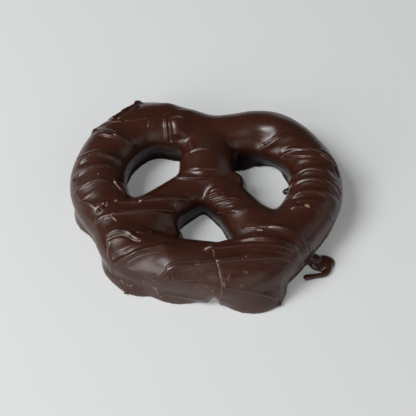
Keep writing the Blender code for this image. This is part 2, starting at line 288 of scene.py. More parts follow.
# Back left: the torn rim, the fold inside it with its groove, and fine creases round them.
BACK_LEFT_RIM = (
    (0.90, 0.7, 0.60, 0.0, 1.0,
     (-37.2, 26.9, 15.3), (-35.8, 28.2, 15.6), (-34.3, 30.2, 15.2), (-32.7, 32.1, 15.2),
     (-31.2, 34.6, 14.2), (-30.0, 36.2, 13.6), (-28.9, 37.6, 12.8), (-27.4, 38.2, 12.0)),
    (0.80, 1.0, 0.40, 0.30, 1.5,
     (-35.0, 26.3), (-33.0, 27.4), (-31.6, 28.9), (-30.2, 30.6), (-28.8, 32.9), (-27.6, 35.2)),
    (-0.80, 0.4, 0.40, 0.0, 1.0,
     (-33.2, 28.9), (-32.0, 30.3), (-30.8, 32.0), (-29.6, 34.2), (-28.4, 36.2)),
    (0.26, 0.4, 0.30, 0.40, 0.8,
     (-38.9, 28.4), (-37.0, 29.6), (-35.2, 31.6), (-33.6, 33.6)),
    (0.26, 1.5, 0.30, 0.40, 1.5,
     (-43.6, 23.0), (-41.4, 24.6), (-38.6, 25.0), (-35.8, 25.4), (-32.1, 25.6)),
    (0.22, 1.6, 0.30, 0.40, 1.5,
     (-41.8, 22.3), (-38.1, 20.6), (-35.6, 19.6), (-34.0, 18.2)),
    (0.20, 0.5, 0.30, 0.40, 1.0,
     (-42.8, 24.0), (-40.6, 26.2), (-38.2, 26.8)),
    (-0.25, 0.4, 0.40, 0.0, 0.8,
     (-35.0, 22.2), (-34.7, 20.2)),
)

# Back arms: creases on the left one, the thread and the swell across it with a groove between
# them, and the slash along the right one with the edge in front of it.
BACK_ARMS = (
    (0.34, 1.6, 0.30, 0.50, 1.5,
     (-32.1, 25.5), (-28.5, 26.2), (-25.3, 27.5), (-22.8, 28.5)),
    (0.36, 0.30, 0.35, 0.50, 0.8,
     (-23.1, 24.3), (-22.8, 26.2), (-22.9, 28.0)),
    (0.16, 0.4, 0.80, 0.0, 2.0,
     (-22.5, 28.6), (-22.7, 31.7), (-23.4, 37.0)),
    (0.42, 0.60, 0.70, 0.0, 1.8,
     (-15.8, 20.8), (-16.1, 23.4), (-16.6, 25.5), (-17.1, 28.3), (-17.6, 30.0)),
    (0.95, 1.5, 4.50, 0.0, 3.0,
     (-12.5, 21.8), (-13.3, 24.4), (-14.2, 27.0), (-15.1, 29.9)),
    (-0.35, 0.8, 0.80, 0.0, 1.5,
     (-14.8, 21.5), (-15.2, 24.5), (-15.8, 27.2), (-16.6, 29.6)),
    (0.36, 0.40, 0.35, 0.40, 0.8,
     (-18.1, 29.4), (-17.0, 30.6), (-15.6, 31.5)),
    (0.14, 0.50, 0.35, 0.0, 2.0,
     (-15.6, 32.2), (-13.6, 33.4), (-11.0, 34.0), (-7.0, 34.4)),
    (-0.42, 0.42, 0.35, 0.0, 1.5,
     (18.5, 22.2), (20.2, 22.5), (22.2, 23.4), (24.6, 24.8), (27.1, 26.3), (29.6, 27.4)),
    (0.36, 0.30, 1.30, 0.0, 2.0,
     (16.4, 21.0), (18.4, 21.4), (20.4, 21.7), (22.5, 22.6), (25.0, 24.0), (27.5, 25.5), (30.0, 26.6)),
)

# Trunk and twist: soft bands across the trunk, then the close threads over the twist.
TRUNK = (
    (0.30, 1.2, 0.50, 0.40, 2.0,
     (-7.5, 14.4), (-5.0, 15.0), (-3.2, 15.3), (-0.7, 15.3), (2.0, 15.0)),
    (0.14, 1.0, 0.50, 0.0, 2.0,
     (-3.0, 20.5), (0.0, 20.6), (3.5, 20.3)),
    (0.22, 0.9, 0.40, 0.40, 2.0,
     (-9.8, 8.4), (-7.9, 7.5), (-5.4, 7.0), (-2.9, 6.8), (0.0, 7.3), (4.0, 7.9)),
    (0.34, 0.7, 0.35, 0.50, 2.0,
     (-12.6, 5.4), (-10.4, 4.7), (-7.9, 4.2), (-5.0, 4.0), (-2.1, 3.9), (0.0, 4.1), (2.5, 4.6)),
    (0.18, 0.5, 0.35, 0.40, 1.0,
     (1.5, 0.0), (4.0, 0.9), (6.0, 1.4)),
    (0.42, 0.5, 0.38, 0.50, 1.4,
     (-0.8, -2.3), (0.7, -1.9), (2.9, -1.2), (5.4, -0.8), (7.8, -0.5)),
    (0.42, 0.5, 0.38, 0.50, 1.4,
     (0.8, -3.0), (3.6, -2.7), (6.4, -2.4), (9.4, -1.9)),
    (0.46, 0.6, 0.38, 0.50, 1.8,
     (2.2, -3.8), (4.6, -3.8), (7.1, -3.6), (10.0, -3.3), (13.4, -3.2)),
    (0.22, 0.4, 0.30, 0.40, 1.2,
     (3.2, -4.7), (6.4, -4.8), (10.0, -4.6)),
    (0.42, 1.1, 0.45, 0.55, 2.0,
     (4.6, -6.0), (6.8, -7.1), (8.2, -7.8), (10.2, -8.4), (12.4, -8.7)),
    (0.22, 0.8, 0.35, 0.30, 1.5,
     (5.2, -5.6), (8.0, -5.9), (11.5, -6.1)),
)

# Right loop: two threads at its back, three wide folds and two small ones across it, and the fine
# ridges and the groove on its outer side.
RIGHT_ARM = (
    (0.46, 0.9, 0.55, 0.45, 2.5,
     (25.0, 19.0), (27.1, 19.8), (29.6, 20.2), (32.5, 19.9), (34.5, 19.7), (36.6, 19.1), (38.8, 18.6),
     (40.8, 17.2), (43.0, 15.8), (44.6, 14.5)),
    (0.30, 0.6, 0.38, 0.50, 2.0,
     (26.4, 18.8), (28.5, 17.8), (31.4, 16.9), (33.9, 16.5), (36.0, 16.3), (39.0, 15.8)),
    (0.52, 1.5, 0.85, 0.45, 3.0,
     (29.6, 8.4), (32.0, 9.8), (34.6, 10.7), (37.2, 10.8), (40.0, 10.3), (43.6, 9.4)),
    (0.46, 1.4, 0.75, 0.45, 3.0,
     (29.8, 4.2), (32.0, 5.0), (34.7, 5.6), (37.0, 5.7), (39.5, 5.4), (43.0, 4.6)),
    (0.46, 1.3, 0.70, 0.45, 3.0,
     (29.8, -2.0), (32.3, -1.2), (34.5, -0.5), (37.2, -0.2), (40.0, -0.4), (43.0, -0.9)),
    (0.24, 0.9, 0.45, 0.45, 2.0,
     (31.2, -4.9), (33.4, -4.4), (35.6, -3.9), (37.9, -3.3)),
    (0.30, 0.8, 0.40, 0.50, 1.5,
     (29.8, -7.4), (31.5, -7.0), (33.4, -6.8), (35.4, -6.7)),
    (0.34, 0.4, 0.38, 0.70, 1.5,
     (39.2, 21.2), (41.6, 20.4), (43.8, 18.9), (45.6, 16.8), (46.8, 14.0)),
    (-0.60, 0.5, 0.50, 0.0, 1.2,
     (44.8, 14.6), (45.7, 13.2), (46.4, 11.6), (47.0, 9.8)),
    (0.26, 0.4, 0.35, 0.50, 1.5,
     (43.0, 6.3), (45.2, 6.0), (47.0, 4.8), (48.0, 2.4)),
    (0.20, 0.4, 0.30, 0.40, 1.2,
     (44.2, 3.2), (46.2, 2.2), (47.6, 0.8)),
    (0.16, 0.5, 0.30, 0.40, 1.5,
     (39.3, -6.6), (42.2, -6.3), (44.2, -6.6), (45.6, -7.6)),
    (0.25, 0.4, 0.40, 0.40, 2.0,
     (46.8, -4.5, 9.0), (45.6, -7.4, 8.2), (44.0, -10.4, 7.8), (42.0, -13.6, 7.2)),
)

# Left strand and the belly's left end: the long threads with their offshoots, the bent fold with
# its curl and grooves, the long folds below it, and the fine lines down to the left point.
LEFT_STRAND = (
    (0.40, 0.8, 0.65, 0.25, 2.0,
     (-22.5, -8.9), (-20.7, -8.4), (-18.6, -7.8), (-16.1, -7.1), (-13.9, -6.4), (-12.1, -5.6),
     (-10.0, -5.0), (-7.1, -4.6), (-4.0, -4.0)),
    (0.30, 0.5, 0.35, 0.40, 1.0,
     (-30.2, -8.9), (-29.5, -9.6), (-28.4, -9.9), (-25.0, -9.4), (-22.0, -8.9)),
    (0.20, 0.8, 0.35, 0.30, 1.5,
     (-12.9, -3.8), (-8.9, -2.6), (-4.3, -1.2)),
    (0.40, 0.5, 0.70, 0.20, 2.0,
     (-36.4, -17.6), (-34.6, -16.6), (-32.9, -16.1), (-30.7, -15.8), (-28.6, -15.0), (-25.7, -14.2),
     (-23.6, -13.7), (-20.7, -13.0), (-17.9, -12.5), (-15.0, -11.8), (-11.4, -10.7), (-8.6, -9.7)),
    (0.24, 0.30, 0.30, 0.30, 1.0,
     (-36.6, -18.4), (-34.6, -17.3), (-32.8, -16.9)),
    (0.26, 0.30, 0.30, 0.40, 0.8,
     (-30.5, -16.0), (-29.3, -16.9), (-28.0, -18.2)),
    (0.20, 0.30, 0.30, 0.40, 0.6,
     (-25.4, -15.9), (-26.2, -17.4)),
    (0.55, 0.40, 0.90, 0.0, 1.2,
     (-31.4, -23.5), (-29.6, -22.6), (-27.9, -22.1), (-25.7, -22.0), (-23.9, -22.3), (-22.6, -23.1),
     (-21.7, -24.0), (-20.4, -24.6), (-18.6, -24.8), (-17.0, -24.4)),
    (-0.30, 0.35, 0.60, 0.0, 1.2,
     (-30.8, -24.9), (-28.6, -24.0), (-25.7, -23.7), (-23.6, -24.2), (-22.1, -25.2), (-20.6, -25.9),
     (-18.8, -26.1)),
    (0.34, 0.40, 0.35, 0.40, 0.8,
     (-20.8, -21.9), (-18.6, -21.6), (-16.7, -20.9), (-15.9, -19.9), (-16.3, -18.8)),
    (-0.50, 0.6, 0.60, 0.0, 1.0,
     (-21.8, -22.2), (-20.0, -22.6), (-18.2, -22.7)),
    (0.28, 2.4, 0.35, 0.0, 2.0,
     (-28.8, -29.7), (-25.7, -29.2), (-22.9, -28.2), (-20.0, -27.1), (-17.1, -26.3), (-13.8, -25.7)),
    (-0.50, 0.9, 0.70, 0.0, 2.0,
     (-28.6, -31.0), (-25.5, -30.8), (-22.5, -29.9), (-19.5, -28.7), (-16.5, -27.8), (-12.0, -27.0)),
    (0.60, 1.20, 0.90, 0.0, 1.5,
     (-29.0, -31.7), (-26.4, -32.1), (-24.3, -31.9), (-21.8, -31.1), (-19.6, -30.1), (-17.5, -29.2),
     (-15.7, -28.7), (-12.5, -27.9), (-9.5, -27.3)),
    (0.16, 0.30, 1.40, 0.0, 2.0,
     (-24.0, -33.1), (-22.1, -32.7), (-19.3, -31.7), (-16.4, -30.6), (-13.6, -30.0), (-10.7, -29.3),
     (-7.9, -28.4)),
    (0.24, 0.30, 0.28, 0.40, 1.5,
     (-30.0, -24.2), (-30.2, -26.6), (-30.4, -28.4), (-29.6, -30.9), (-28.6, -32.3), (-26.4, -33.7),
     (-24.6, -35.0), (-23.4, -36.1)),
    (0.16, 0.30, 0.28, 0.40, 1.0,
     (-31.8, -29.2), (-30.4, -31.0), (-27.6, -33.1)),
    (0.26, 0.40, 0.30, 0.40, 0.8,
     (-23.7, -35.4), (-22.2, -36.2), (-20.4, -36.3)),
)

# Belly: the wide fold behind the middle and the threads round it, the long threads along the top
# of the front, the ridges low on the front, the crack down it and four faint upright grooves.
BELLY = (
    (0.62, 1.7, 0.90, 0.0, 3.0,
     (1.0, -26.6), (2.9, -26.1), (5.0, -25.8), (7.1, -25.0), (9.3, -24.0), (12.1, -22.9), (15.0, -22.2),
     (18.6, -21.7), (22.1, -21.6), (26.0, -21.8), (30.0, -22.2), (34.0, -22.8)),
    (0.50, 0.9, 0.30, 0.60, 2.5,
     (3.2, -26.6), (7.1, -26.2), (10.7, -25.4), (14.3, -24.8), (17.9, -24.5), (21.4, -24.4),
     (25.0, -24.3), (29.0, -24.2), (33.0, -24.2)),
    (0.16, 0.6, 0.30, 0.40, 2.0,
     (17.9, -25.8), (21.4, -25.9), (26.8, -25.8), (31.4, -25.7), (34.6, -26.0)),
    (0.22, 0.5, 0.35, 0.50, 1.5,
     (13.9, -15.4), (16.4, -15.7), (18.6, -15.8), (20.0, -15.4), (22.9, -15.4)),
    (0.20, 0.30, 0.30, 0.40, 0.6,
     (19.3, -16.5), (21.8, -16.7)),
    (0.16, 1.0, 0.40, 0.30, 3.0,
     (22.0, -15.4), (28.0, -16.2), (33.5, -17.8), (37.0, -20.2)),
    (0.34, 1.0, 0.30, 0.60, 2.5,
     (-0.5, -33.2), (3.6, -32.4), (7.1, -31.8), (10.7, -31.2), (14.3, -30.6), (17.9, -30.0),
     (21.4, -29.3), (25.0, -28.4), (28.6, -27.6), (32.1, -27.0), (35.0, -26.6)),
    (0.34, 0.5, 0.60, 0.25, 1.5,
     (-9.8, -34.5), (-7.9, -33.3), (-5.7, -32.5), (-2.9, -31.8), (0.0, -31.4), (3.6, -31.1),
     (8.6, -30.5), (11.8, -30.0), (14.3, -29.5), (15.6, -29.1)),
    (0.12, 0.4, 0.30, 0.40, 2.0,
     (16.8, -28.8), (21.4, -28.3), (26.0, -27.4)),
    (0.36, 0.45, 0.65, 0.25, 1.5,
     (-14.3, -36.7), (-12.1, -36.3), (-10.1, -35.7), (-8.2, -34.6), (-6.1, -33.9), (-3.6, -33.4),
     (0.0, -33.1)),
    (0.24, 1.6, 0.25, 0.40, 1.5,
     (-12.1, -37.3), (-9.6, -37.1), (-5.4, -36.8), (0.0, -36.6), (3.6, -36.4)),
    (0.34, 1.2, 0.45, 0.35, 1.5,
     (9.3, -37.6, 12.2), (14.7, -38.2, 11.4), (20.2, -37.8, 9.2), (25.2, -36.8, 6.4), (28.4, -36.3, 3.2)),
    (0.22, 0.6, 0.60, 0.0, 2.0,
     (-10.5, -38.2, 4.6), (-4.6, -38.6, 4.2), (0.5, -38.6, 3.4), (4.0, -38.8, 4.0)),
    (0.28, 0.35, 0.35, 0.40, 1.0,
     (35.6, -17.8), (37.0, -18.6), (38.0, -20.0), (38.4, -21.6)),
    (-0.30, 0.35, 0.35, 0.0, 0.8,
     (36.4, -17.4), (37.6, -18.2)),
    (-0.16, 0.25, 0.25, 0.0, 0.6,
     (5.0, -26.6, 16.4), (6.0, -28.6, 17.0), (7.0, -31.5, 17.0), (8.2, -34.4, 15.0),
     (9.3, -37.5, 12.3), (9.4, -38.9, 7.0)),
    (-0.10, 0.35, 0.25, 0.0, 1.5,
     (-7.9, -34.6, 15.0), (-7.2, -37.2, 11.6), (-7.3, -38.4, 8.6)),
    (-0.07, 0.30, 0.60, 0.0, 1.5,
     (-6.2, -34.2, 15.4), (-5.8, -36.4, 13.0)),
    (-0.12, 0.50, 0.25, 0.0, 1.5,
     (-3.4, -34.8, 15.0), (-3.2, -36.6, 13.2), (-2.5, -38.4, 9.6)),
    (-0.06, 0.25, 0.50, 0.0, 1.5,
     (0.2, -34.2, 15.6), (0.8, -37.0, 12.8)),
)

# Beads, chips, pits and swells: (radius, height, place), placed as the knots are.
SPOTS = (
    (0.55, 0.60, (-35.1, -14.0)),
    (0.50, 0.60, (-34.1, -13.2)),
    (0.50, 0.40, (-33.6, -11.2)),
    (0.40, 0.40, (-32.4, -10.9)),
    (0.45, -0.40, (-33.1, -12.3)),
    (0.60, 0.45, (-29.5, -9.5)),
    (0.45, 0.45, (-16.6, -20.6)),
    (0.45, 0.35, (15.4, -29.1)),
    (0.45, -0.50, (16.3, -29.5)),
    (0.60, -0.45, (-14.0, 30.2)),
    (0.40, 0.25, (41.0, 5.3)),
    (0.35, 0.22, (40.2, 2.8)),
    (0.60, 0.22, (40.2, 0.4)),
    (0.45, 0.25, (38.4, -2.7)),
    (0.70, -0.45, (40.8, -19.5)),
    (0.50, 0.50, (36.9, -25.2, 0.8)),
    (1.20, 0.30, (-36.6, 27.4, 15.4)),
    (0.80, -0.20, (-34.4, 30.2, 15.3)),
    (1.00, 0.22, (-33.2, 31.6, 15.2)),
    (0.60, -0.20, (-31.2, 34.4, 14.4)),
    (1.50, 1.00, (-42.9, 23.0, 13.0)),
    (3.00, 0.50, (-17.0, 37.0, 14.3)),
    (0.70, 0.80, (-23.6, -37.0, 0.8)),
    (0.80, 0.50, (-46.6, -0.8, 13.9)),
    (4.00, 0.90, (24.0, 29.2)),
    (4.00, -0.90, (18.8, 24.0)),
    (6.00, -1.00, (-21.0, -34.0)),
    (7.00, 0.90, (-7.0, -32.0)),
)

# The relief fades in between these heights. Then the even grid is thinned out to so many
# triangles, mostly where the coat is plain.
RELIEF_HEIGHTS = (0.2, 1.0)
COAT_TRIANGLES = 185000

rise = np.zeros(len(points))
for group in (LEFT_ARM, BACK_LEFT_RIM, BACK_ARMS, TRUNK, RIGHT_ARM, LEFT_STRAND, BELLY):
    for row in group:
        near, amount = fold(*row)
        rise[near] += amount
for radius, height, place in SPOTS:
    middle = np.array(dropped(place)[0]) / MM
    rise += height * np.exp(-((points - middle) ** 2).sum(1) / radius**2)
rise *= eased(points[:, 2], *RELIEF_HEIGHTS)
points = points + normals * rise[:, None]

coat_mesh.vertices.foreach_set("co", (points * MM).ravel())
thin = coat.modifiers.new("fewer faces", "DECIMATE")
thin.ratio = COAT_TRIANGLES / (2 * len(coat_mesh.polygons))
coat_mesh = with_modifiers(coat)
coat_mesh.shade_smooth()
skin = BVHTree.FromObject(coat, bpy.context.evaluated_depsgraph_get())


# Its finish is the satin face of dark chocolate, a little streaked along x. It carries faint pale
# patches, partly bloom where it was rubbed and partly painted sheen, and painted shade low in the
# holes: a darker colour and a lower specular level there.

COAT_DARK = (0.038, 0.0095, 0.0042, 1.0)
COAT_LIGHT = (0.048, 0.0128, 0.0062, 1.0)
BLOOM_AND_SHEEN_COLOUR = (0.085, 0.052, 0.044, 1.0)
PAINTED_HOLE_SHADE_COLOUR = (0.010, 0.0030, 0.0015, 1.0)
COAT_IOR = 1.50
# Specular level on the open coat and under the painted shade low in the holes, and roughness off
# the streaks and on them.
SPECULAR = (0.5, 0.08)
ROUGHNESS = (0.24, 0.34)
BUMP_DISTANCE = 0.02 * MM
BUMP_STRENGTH = 0.35
# Blotches a metre, along x, y and z, and the part of a noise that is used.
GRAIN = (900.0, 900.0, 900.0)
STREAKS = (70.0, 800.0, 800.0)
STREAK_RANGE = (0.3, 0.7)

# Pale patches of bloom and painted sheen: (x, y, radius, strength), their core, and what the mottle
# multiplies them by.
BLOOM_AND_SHEEN_PATCHES = (
    (-1.0, -37.0, 12.0, 0.45),
    (-14.0, -33.0, 8.0, 0.35),
    (-42.0, -3.0, 10.0, 0.30),
    (18.0, -35.0, 9.0, 0.15),
)
BLOOM_AND_SHEEN_CORE = 0.2
BLOOM_AND_SHEEN_SHARES = (0.5, 1.2)
# The three holes: (x, y, radius out to the rope's far side), the fade at that radius, how far a
# wall has to face the middle, and the heights over which the painted shade in them ends.
HOLES = (
    (-19.0, 9.5, 18.0),
    (20.0, 9.5, 18.0),
    (0.5, -11.5, 13.0),
)
HOLE_FADE = 2.0
HOLE_SHADE_FACING = (0.2, 0.8)
HOLE_SHADE_HEIGHTS = (6.0, 12.0)

points = column(coat_mesh.vertices, "co", 3) / MM
normals = column(coat_mesh.vertices, "normal", 3)
# Pale patches, partly bloom and partly painted sheen.
bloom_and_sheen = np.zeros(len(points))
for x, y, radius, strength in BLOOM_AND_SHEEN_PATCHES:
    bloom_and_sheen = np.maximum(bloom_and_sheen, strength * (1.0 - outside(x, y, radius, BLOOM_AND_SHEEN_CORE)))
# Painted shade: walls low in the holes that face their middle get a darker colour.
painted_hole_shade = np.zeros(len(points))
for x, y, radius in HOLES:
    inward = np.array((x, y)) - points[:, :2]
    away = np.linalg.norm(inward, axis=1)
    facing = eased((normals[:, :2] * inward).sum(1) / (away + 1e-9), *HOLE_SHADE_FACING)
    painted_hole_shade = np.maximum(painted_hole_shade, facing * (1.0 - eased(away, radius - HOLE_FADE, radius)))
painted_hole_shade *= 1.0 - eased(points[:, 2], *HOLE_SHADE_HEIGHTS)
for name, values in (("bloom_and_sheen", bloom_and_sheen), ("painted_hole_shade", painted_hole_shade)):
    coat_mesh.attributes.new(name, "FLOAT", "POINT").data.foreach_set("value", values)

chocolate = bpy.data.materials.new("dark_chocolate")
chocolate.use_nodes = True
nodes, links = chocolate.node_tree.nodes, chocolate.node_tree.links
shader = nodes["Principled BSDF"]
shader.inputs["IOR"].default_value = COAT_IOR


def noise(nodes, links, stretch, detail):
    """Noise over the piece's own coordinates, with so many blotches a metre along each axis."""
    place = nodes.new("ShaderNodeTexCoord")
    scaled = nodes.new("ShaderNodeMapping")
    scaled.inputs["Scale"].default_value = stretch
    links.new(place.outputs["Object"], scaled.inputs["Vector"])
    blotches = nodes.new("ShaderNodeTexNoise")
    blotches.inputs["Scale"].default_value = 1.0
    blotches.inputs["Detail"].default_value = detail
    links.new(scaled.outputs["Vector"], blotches.inputs["Vector"])
    return blotches.outputs["Fac"]


def ranged(nodes, links, source, given, wanted):
    """The source taken from the range given to the range wanted, and held at its ends."""
    span = nodes.new("ShaderNodeMapRange")
    links.new(source, span.inputs["Value"])
    for name, end in zip(("From Min", "From Max", "To Min", "To Max"), given + wanted):
        span.inputs[name].default_value = end
    return span.outputs["Result"]


def blend(nodes, links, factor, first, second):
    """A colour between two, each given as a colour or as another node's output."""
    mix = nodes.new("ShaderNodeMix")
    mix.data_type = "RGBA"
    links.new(factor, mix.inputs["Factor"])
    for name, colour in (("A", first), ("B", second)):
        socket = next(s for s in mix.inputs if s.name == name and s.type == "RGBA")
        if isinstance(colour, tuple):
            socket.default_value = colour
        else:
            links.new(colour, socket)
    return next(s for s in mix.outputs if s.type == "RGBA")


def attribute(nodes, name):
    """A point attribute of the mesh as a value."""
    reader = nodes.new("ShaderNodeAttribute")
    reader.attribute_name = name
    return reader.outputs["Fac"]


def product(nodes, links, first, second):
    """One output times another."""
    times = nodes.new("ShaderNodeMath")
    times.operation = "MULTIPLY"
    links.new(first, times.inputs[0])
    links.new(second, times.inputs[1])
    return times.outputs["Value"]


def build_mottle():
    """The mottle that every finish of this piece shares, as a group. It is noise over Object
    coordinates, taken from low and high to 0 and 1, and the colour that far from dark to light."""
    group = bpy.data.node_groups.new("mottle", "ShaderNodeTree")
    for name, side, kind in (
        ("Dark", "INPUT", "NodeSocketColor"),
        ("Light", "INPUT", "NodeSocketColor"),
        ("Blotches", "INPUT", "NodeSocketFloat"),
        ("Detail", "INPUT", "NodeSocketFloat"),
        ("Low", "INPUT", "NodeSocketFloat"),
        ("High", "INPUT", "NodeSocketFloat"),
        ("Colour", "OUTPUT", "NodeSocketColor"),
        ("Spread", "OUTPUT", "NodeSocketFloat"),
    ):
        group.interface.new_socket(name, in_out=side, socket_type=kind)
    nodes, links = group.nodes, group.links
    given = nodes.new("NodeGroupInput").outputs
    made = nodes.new("NodeGroupOutput").inputs
    blotches = nodes.new("ShaderNodeTexNoise")
    links.new(nodes.new("ShaderNodeTexCoord").outputs["Object"], blotches.inputs["Vector"])
    links.new(given["Blotches"], blotches.inputs["Scale"])
    links.new(given["Detail"], blotches.inputs["Detail"])
    span = nodes.new("ShaderNodeMapRange")
    links.new(blotches.outputs["Fac"], span.inputs["Value"])
    links.new(given["Low"], span.inputs["From Min"])
    links.new(given["High"], span.inputs["From Max"])
    colour = blend(nodes, links, span.outputs["Result"], given["Dark"], given["Light"])
    links.new(colour, made["Colour"])
    links.new(span.outputs["Result"], made["Spread"])
    return group


mottle = build_mottle()


def mottled(nodes, dark, light, blotches, detail, low, high):
    """The mottle group placed in a material, with so many blotches a metre: its two outputs."""
    placed = nodes.new("ShaderNodeGroup")
    placed.node_tree = mottle
    values = (dark, light, blotches, detail, low, high)
    for name, value in zip(("Dark", "Light", "Blotches", "Detail", "Low", "High"), values):
        placed.inputs[name].default_value = value
    return placed.outputs["Colour"], placed.outputs["Spread"]


brown, spread = mottled(nodes, COAT_DARK, COAT_LIGHT, blotches=150.0, detail=3.0, low=0.3, high=0.7)
grain = noise(nodes, links, GRAIN, detail=2.0)
streaks = noise(nodes, links, STREAKS, detail=2.0)
in_painted_hole_shade = attribute(nodes, "painted_hole_shade")
# Pale bloom with painted sheen over the patches.
patches = ranged(nodes, links, spread, (0.0, 1.0), BLOOM_AND_SHEEN_SHARES)
bloom_and_sheen_share = product(nodes, links, attribute(nodes, "bloom_and_sheen"), patches)
brown_with_bloom_and_sheen = blend(nodes, links, bloom_and_sheen_share, brown, BLOOM_AND_SHEEN_COLOUR)
# Painted shade: low in the holes the colour goes to the dark hole colour and the specular level drops.
links.new(blend(nodes, links, in_painted_hole_shade, brown_with_bloom_and_sheen, PAINTED_HOLE_SHADE_COLOUR), shader.inputs["Base Color"])
links.new(ranged(nodes, links, in_painted_hole_shade, (0.0, 1.0), SPECULAR), shader.inputs["Specular IOR Level"])
links.new(ranged(nodes, links, streaks, STREAK_RANGE, ROUGHNESS), shader.inputs["Roughness"])
bump = nodes.new("ShaderNodeBump")
bump.inputs["Distance"].default_value = BUMP_DISTANCE
bump.inputs["Strength"].default_value = BUMP_STRENGTH
links.new(product(nodes, links, streaks, grain), bump.inputs["Height"])
links.new(bump.outputs["Normal"], shader.inputs["Normal"])
coat_mesh.materials.clear()
coat_mesh.materials.append(chocolate)
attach(coat, "root")
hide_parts("coated_pretzel")


# ------------------------------------------------------------------------------------------
# Crumbs. Bits of dry tan crust fell on the coat before it set and lie half sunk in it: a large
# one on the right loop, a row of them low on the belly's front, and a few pale specks. The last one
# listed is a painted highlight, a pale speck where a small bump glints.

CRUMB_DARK = (0.17, 0.085, 0.042, 1.0)
CRUMB_LIGHT = (0.47, 0.33, 0.20, 1.0)
CRUMB_BLOTCHES = 1400.0
CRUMB_ROUGHNESS = 0.75
CRUMB_SINK = 0.35
CRUMB_SEED = 3
SHARD_RADII = (0.67, 1.33)
# (place, length, width, height) of each, placed as the knots are.
CRUMBS = (
    ((35.9, -6.3), 1.4, 1.0, 0.7),
    ((36.5, -6.6), 0.8, 0.6, 0.5),
    ((35.2, -6.2), 0.5, 0.4, 0.3),
    ((-37.3, -0.1), 0.6, 0.5, 0.3),
    ((-9.4, -7.2), 0.5, 0.4, 0.3),
    ((-13.2, -37.4, 6.4), 1.5, 0.8, 0.4),
    ((-12.7, -37.6, 5.6), 0.7, 0.4, 0.3),
    ((-12.3, -37.8, 4.6), 1.1, 0.4, 0.3),
    ((-11.9, -37.9, 3.6), 0.6, 0.3, 0.3),
    ((-11.2, -38.3, 2.4), 0.7, 0.4, 0.3),
    ((-17.0, -37.0, 8.6), 0.6, 0.4, 0.3),
    # A painted highlight: a pale speck where a small bump glints.
    ((15.7, -30.2), 0.4, 0.3, 0.2),
)


def shards(rows, sink, seed):
    """Broken bits laid on the coat. Each is a ball of 42 points whose radius is changed at random
    by up to a third. It is squeezed to its length, width and height, turned at random about the
    coat's normal, and sunk by a share of its height."""
    chance = np.random.default_rng(seed)
    ball = bmesh.new()
    bmesh.ops.create_icosphere(ball, subdivisions=2, radius=1.0)
    ball_points = np.array([tuple(vert.co) for vert in ball.verts])
    ball_faces = np.array([[vert.index for vert in face.verts] for face in ball.faces])
    ball.free()
    all_points, all_faces = [], []
    for place, *sides in rows:
        middle, up = (np.array(part) for part in dropped(place))
        along = np.cross(up, chance.normal(size=3))
        along /= np.linalg.norm(along)
        axes = np.stack([along, np.cross(up, along), up])
        uneven = ball_points * chance.uniform(*SHARD_RADII, (len(ball_points), 1))
        bit = (uneven * np.array(sides) / 2) @ axes + up * sides[2] * (0.5 - sink)
        all_faces.append(ball_faces + len(ball_points) * len(all_points))
        all_points.append(bit + middle / MM)
    return np.concatenate(all_points), np.concatenate(all_faces)


def matt(name, dark, light, blotches, rough):
    """A matt material that wanders between two colours, in blotches of so many a metre."""
    made = bpy.data.materials.new(name)
    made.use_nodes = True
    nodes = made.node_tree.nodes
    shader = nodes["Principled BSDF"]
    colour, _ = mottled(nodes, dark, light, blotches, detail=4.0, low=0.35, high=0.65)
    made.node_tree.links.new(colour, shader.inputs["Base Color"])
    shader.inputs["Roughness"].default_value = rough
    return made


def add_piece(name, shape, material):
    """An object made of a shape, which is points in millimetres and faces. It rides the one body
    and replaces the one node, as the coat does."""
    mesh = bpy.data.meshes.new(name)
    mesh.from_pydata((shape[0] * MM).tolist(), [], shape[1].tolist())
    mesh.materials.append(material)
    made = bpy.data.objects.new(name, mesh)
    bpy.context.scene.collection.objects.link(made)
    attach(made, "root")
    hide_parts("coated_pretzel")


crust = matt("baked_crumb", CRUMB_DARK, CRUMB_LIGHT, CRUMB_BLOTCHES, CRUMB_ROUGHNESS)
add_piece("crumbs", shards(CRUMBS, CRUMB_SINK, CRUMB_SEED), crust)


# ------------------------------------------------------------------------------------------
# Seam. The coat cracked from the belly's top to its foot, and the tan crust shows in the crack
# as a thin line. It is a flat six-sided cord laid along the crack.

SEAM_DARK = (0.095, 0.045, 0.028, 1.0)
SEAM_LIGHT = (0.27, 0.155, 0.095, 1.0)
SEAM_BLOTCHES = 700.0
SEAM_ROUGHNESS = 0.7
SEAM_WIDTH = 0.38
SEAM_HEIGHT = 0.26
SEAM_LIFT = 0.02
SEAM_STEP = 0.35
SEAM_TIP = 0.1
SEAM_SEED = 5
RING_SIDES = 6
# A ring's size is drawn between these shares, at every third ring.
RING_SHARES = (0.5, 1.0)
RINGS_A_DRAW = 3
SEAM_KNOTS = (
    (5.0, -26.2, 16.3),
    (5.9, -28.4, 17.0),
    (7.0, -31.5, 17.0),
    (8.2, -34.4, 15.0),
    (9.3, -37.6, 12.3),
    (9.4, -39.1, 6.5),
)


